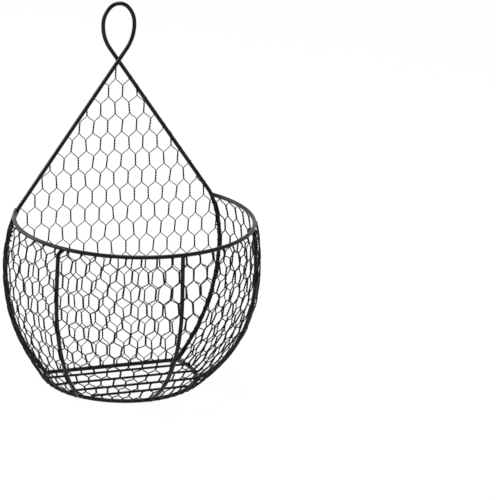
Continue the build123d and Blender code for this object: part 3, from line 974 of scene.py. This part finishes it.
sheet, given = shape_tree(
    "wire ends round a rod", Wire=BACK_WIRE, Rod=ROD, Turns=1.0, Sides=WIRE_SIDES, Finish=None)
coil_radius = (given["Rod"] + given["Wire"]) * 0.5
coil = sheet.node("GeometryNodeCurveSpiral", inputs={
    "Resolution": WRAP_STEPS, "Rotations": given["Turns"], "Start Radius": coil_radius,
    "End Radius": coil_radius, "Height": given["Wire"] * given["Turns"] * WRAP_RISE_SHARE})
bent = tube_along(sheet, coil, given["Sides"], given["Wire"])
facing = sheet.node("FunctionNodeAlignRotationToVector", {"axis": "X", "pivot_axis": "Z"}, {
    "Rotation": turned_along(sheet), "Vector": attribute(sheet, "facing", "FLOAT_VECTOR")})
copies = sheet.node("GeometryNodeInstanceOnPoints", inputs={
    "Points": given["Guide"], "Instance": bent, "Rotation": facing})
wrap_tree = close_tree(sheet, copies, given["Finish"])
print("a coil has", WRAP_STEPS, "steps in a turn")

# %% Ends of the bowl's netting
EDGE_WIRE, EDGE_TURNS = 0.85 * MM, 1.25


def on_frame(side, height):
    """Middle of the frame rod at a height, and the way along it."""
    x, slope = half_width(height)
    return strand(side, x, height), Vector((side * slope, 0, 1)).normalized()


edge_wraps = []
for side in (-1, 1):
    for row in range(2 * ROWS):
        height = height_along(STUB + (row + 0.5) * ROW / 2)
        edge_wraps.append(Wrap(*on_frame(side, height), Vector((0, -1, 0))))
shaped("edges round the frame", wrap_guide("edge wraps", edge_wraps), wrap_tree, "coated_netting",
       Wire=EDGE_WIRE, Turns=EDGE_TURNS, Finish=net_coat)

# %% [markdown]
# ## The tangle
#
# Under the rim's left end the real wires are wound over each other in a loose bundle.
# A few of the same coils, close together and each a little askew, stand in for it. They
# are simpler than the real bundle.

# %% The tangle under the rim
TANGLE_COILS, TANGLE_COIL_TURNS = 8, 1.4
TANGLE_STEP, TANGLE_TOP, TANGLE_INWARD = 3.2 * MM, 19.0 * MM, 1.0 * MM
TANGLE_SCATTER, TANGLE_SKEW = 0.5, 0.5

tangle = []
for turn in range(TANGLE_COILS):
    aside, off, tilt = WANDERS[turn][0]
    drop = TANGLE_TOP + (turn + TANGLE_SCATTER * off) * TANGLE_STEP
    place, way = on_frame(-1, RIM_HEIGHT - drop)
    place += Vector((TANGLE_INWARD, -TANGLE_INWARD, 0))
    skewed = (way + TANGLE_SKEW * Vector((aside, 0, 0))).normalized()
    tangle.append(Wrap(place, skewed, Vector((tilt, -1, 0))))
shaped("tangle under the rim", wrap_guide("tangle", tangle), wrap_tree, "coated_netting",
       Wire=EDGE_WIRE, Rod=ROD + 2 * TANGLE_INWARD, Turns=TANGLE_COIL_TURNS, Finish=net_coat)

# %% Ends of the back's netting
END_WIRE, END_TURNS, BAR_TURNS = 0.5 * MM, 0.8, 0.5
NEAR_FRAME, BAR_ZONE = 2.0 * MM, 2 * ROD


def ends_at_frame(side, end):
    """Whether the end of a wire lies at one side of the frame."""
    off = abs(abs(end.x) - half_width(end.z)[0])
    return end.x * side > 0 and off < NEAR_FRAME and end.z > BAR_ZONE


frame_wraps = []
for side in (-1, 1):
    for run in wires:
        for end in (run[0].point, run[-1].point):
            if ends_at_frame(side, end):
                frame_wraps.append(Wrap(*on_frame(side, end.z), Vector((-side, 0, 0))))
shaped("ends round the frame", wrap_guide("frame wraps", frame_wraps), wrap_tree, "coated_netting",
       Wire=END_WIRE, Turns=END_TURNS, Finish=net_coat)

bar_wraps = []
for run in wires:
    end = run[-1].point
    if end.z < BAR_ZONE:
        bar_wraps.append(Wrap(Vector((end.x, BACK, BASE_HEIGHT)), Vector((1, 0, 0)), Vector((0, -1, 0))))
shaped("ends over the back bar", wrap_guide("bar wraps", bar_wraps), wrap_tree, "coated_netting",
       Turns=BAR_TURNS, Finish=net_coat)
print(len(edge_wraps) + len(tangle) + len(frame_wraps) + len(bar_wraps), "wrapped ends")

# %% [markdown]
# ## Weld beads
#
# Rods that cross are spot welded, and a little metal runs out between them. Under the
# coat it shows as a soft lump in the corner of the joint. The photograph is too small to
# show any, but such baskets have them. Each bead is a small ball, stretched along the
# joint and pushed about by noise, with the same tree on every joint.

# %% The bead tree
ROD_BEAD, FLOOR_BEAD = 2.3 * MM, 1.3 * MM
BEAD_DETAIL, BEAD_WAIST, BEAD_LENGTH = 4, 0.85, 1.35
BEAD_UNEVENNESS, BEAD_LUMP = 0.35 * MM, 2.2 * MM

sheet, given = shape_tree("weld beads", Size=ROD_BEAD, Unevenness=BEAD_UNEVENNESS, Finish=None)
ball = sheet.node("GeometryNodeMeshIcoSphere", inputs={"Radius": given["Size"], "Subdivisions": BEAD_DETAIL})
stretch = sheet.node("ShaderNodeCombineXYZ", inputs={"X": BEAD_WAIST, "Y": BEAD_WAIST, "Z": BEAD_LENGTH})
copies = sheet.node("GeometryNodeInstanceOnPoints", inputs={
    "Points": given["Guide"], "Instance": ball, "Rotation": turned_along(sheet), "Scale": stretch})
real = sheet.node("GeometryNodeRealizeInstances", inputs={0: copies})
lumps = sheet.node("ShaderNodeTexNoise", inputs={"Scale": 1 / BEAD_LUMP, "Detail": 1.0}) - 0.5
away = scaled(sheet.node("GeometryNodeInputNormal"), lumps * given["Unevenness"] * 2)
pushed = sheet.node("GeometryNodeSetPosition", inputs={"Geometry": real, "Offset": away})
bead_tree = close_tree(sheet, pushed, given["Finish"])


def beads(name, joints, size):
    """Each joint is a place between the rods' middle lines, and the way along the joint."""
    guide = wrap_guide(name, [Wrap(place, way, way) for place, way in joints])
    shaped(name, guide, bead_tree, "coated_rod", Size=size, Finish=rod_coat)


print("tree:", bead_tree.name)

# %% Beads on the joints
UP = Vector((0, 0, 1))
RIB_FOOT_RISE, RIB_TOP_RISE = 0.3 * ROD, 0.45 * ROD
FLOOR_BEAD_SHARE = 0.985


def across_line(line, n):
    """The level way across a line at one of its points."""
    return (line[n + 1] - line[n - 1]).normalized().cross(UP).normalized()


joints = []
for side, end in ((-1, rim_line[0]), (1, rim_line[-1])):
    joints.append((end.lerp(strand(side, RIM_HALF_WIDTH, RIM_HEIGHT), 0.5), UP))
for line in rib_lines.values():
    joints.append((line[0] + UP * RIB_FOOT_RISE, across_line(line, 1)))
    joints.append((line[-1] + UP * RIB_TOP_RISE, across_line(line, -2)))
beads("weld beads of the rods", joints, ROD_BEAD)

joints = [(Vector((point.x * FLOOR_BEAD_SHARE, point.y, ROD)), Vector((0, 1, 0))) for point in floor_ends]
beads("weld beads of the floor rods", joints, FLOOR_BEAD)

# %% [markdown]
# ## The floor
#
# The photograph has a white ground with a faint shadow. Lighting a floor until it looks
# white would flood the basket. So it is given its white only for camera rays and for
# rays that are mirrored or let through, and keeps a matt share, with the shadow on it.

# %% Floor
FLOOR_HALF_SIZE = 8
FLOOR_COLOUR, FLOOR_WHITENESS = 0.95, 0.93


def rays_of(sheet, *kinds):
    """One for rays of the named kinds, and nought for all others."""
    path = sheet.tree.nodes.new("ShaderNodeLightPath")
    return sum(Value(sheet, path.outputs[kind]) for kind in kinds)


corners = [(x * FLOOR_HALF_SIZE, y * FLOOR_HALF_SIZE, 0) for x, y in ((-1, -1), (1, -1), (1, 1), (-1, 1))]
floor = bpy.data.objects.new("floor", bpy.data.meshes.new("floor"))
floor.data.from_pydata(corners, [], [(0, 1, 2, 3)])
bpy.context.scene.collection.objects.link(floor)
material = bpy.data.materials.new("white floor")
material.use_nodes = True
sheet = Sheet(material.node_tree)
seen = rays_of(sheet, "Is Camera Ray", "Is Glossy Ray", "Is Transmission Ray")
matt = sheet.node("ShaderNodeBsdfDiffuse", inputs={"Color": (FLOOR_COLOUR, FLOOR_COLOUR, FLOOR_COLOUR, 1)})
white = sheet.node("ShaderNodeEmission", inputs={"Color": (1, 1, 1, 1), "Strength": 1.0})
mixed = sheet.node("ShaderNodeMixShader", inputs={0: seen * FLOOR_WHITENESS, 1: matt, 2: white})
sheet.node("ShaderNodeOutputMaterial", inputs={"Surface": mixed})
floor.data.materials.append(material)
print("floor of", 2 * FLOOR_HALF_SIZE, "m by", 2 * FLOOR_HALF_SIZE, "m")

# %% [markdown]
# ## The room in the coat
#
# A dark satin rod shows its roundness only by what it mirrors. The highlights on the
# real rods fit a white backdrop behind them and a dimmer room in front. So the world is
# bright to mirrored rays that go back and dim to those that come forward, white to the
# camera, and plain to all the others.

# %% World
PLAIN_LEVEL = 0.5
MIRRORED_DIM, MIRRORED_BRIGHT = 0.12, 1.0
DIM_UP_TO, BRIGHT_FROM = -0.4, 0.6

world = bpy.data.worlds.new("studio")
world.use_nodes = True
bpy.context.scene.world = world
sheet = Sheet(world.node_tree)
way = sheet.node("ShaderNodeTexCoord", output="Generated")
depth = sheet.node("ShaderNodeSeparateXYZ", inputs={0: way}, output="Y")
backdrop = sheet.node("ShaderNodeMapRange", {"interpolation_type": "SMOOTHSTEP"}, {
    "Value": depth, "From Min": DIM_UP_TO, "From Max": BRIGHT_FROM,
    "To Min": MIRRORED_DIM - PLAIN_LEVEL, "To Max": MIRRORED_BRIGHT - PLAIN_LEVEL})
camera_share = rays_of(sheet, "Is Camera Ray") * (1 - PLAIN_LEVEL)
mirrored_share = rays_of(sheet, "Is Glossy Ray", "Is Transmission Ray") * backdrop
level = PLAIN_LEVEL + camera_share + mirrored_share
sky = sheet.node("ShaderNodeBackground", inputs={"Color": (1, 1, 1, 1), "Strength": level})
sheet.node("ShaderNodeOutputWorld", inputs={"Surface": sky})
print("world at", PLAIN_LEVEL, "for plain rays")

# %% [markdown]
# ## Lamps and camera
#
# The light is broad and soft, from above and from the left, with a faint fill from the
# right. The camera stands far off with a long lens, so that hardly anything looks
# tapered. Its place and angles were fitted to the rods in the photograph, so they are
# not round.

# %% Lamps
LAMP_AIM = Vector((0, 0, 0.2))
LAMPS = (
    ("left window", (-2.4, 0.3, 1.7), 0.7, 28.0),
    ("rear window", (-2.0, 1.8, 1.2), 0.8, 30.0),
    ("right window", (2.2, -1.6, 0.7), 0.5, 4.0),
    ("top panel", (0.2, 0.2, 2.6), 1.1, 45.0),
)

for name, place, size, power in LAMPS:
    lamp = bpy.data.lights.new(name, "AREA")
    lamp.size, lamp.energy = size, power
    held = bpy.data.objects.new(name, lamp)
    held.location = place
    held.rotation_euler = (LAMP_AIM - Vector(place)).to_track_quat("-Z", "Y").to_euler()
    bpy.context.scene.collection.objects.link(held)
print(len(LAMPS), "lamps")

# %% Camera
AZIMUTH, ELEVATION, ROLL = radians(21.165), radians(17.958), radians(1.7273)
LENS, SIGHT_END = 305.97, 50
CAMERA_ASIDE, CAMERA_FORWARD, CAMERA_HEIGHT = -1.79472, 5.13312, 1.93525

camera = bpy.data.objects.new("camera", bpy.data.cameras.new("camera"))
camera.data.lens = LENS
camera.data.clip_end = SIGHT_END
right = Vector((cos(AZIMUTH), -sin(AZIMUTH), 0))
back = Vector((-sin(AZIMUTH) * cos(ELEVATION), -cos(AZIMUTH) * cos(ELEVATION), sin(ELEVATION)))
up = back.cross(right)
tilted = (right * cos(ROLL) + up * sin(ROLL), up * cos(ROLL) - right * sin(ROLL), back)
for column, axis in enumerate(tilted):
    for row in range(3):
        camera.matrix_world[row][column] = axis[row]
camera.location = (CAMERA_ASIDE, BACK - CAMERA_FORWARD, CAMERA_HEIGHT)
bpy.context.scene.collection.objects.link(camera)
bpy.context.scene.camera = camera
bpy.context.scene.view_settings.view_transform = "Standard"
print("camera at", [round(v, 3) for v in camera.location])
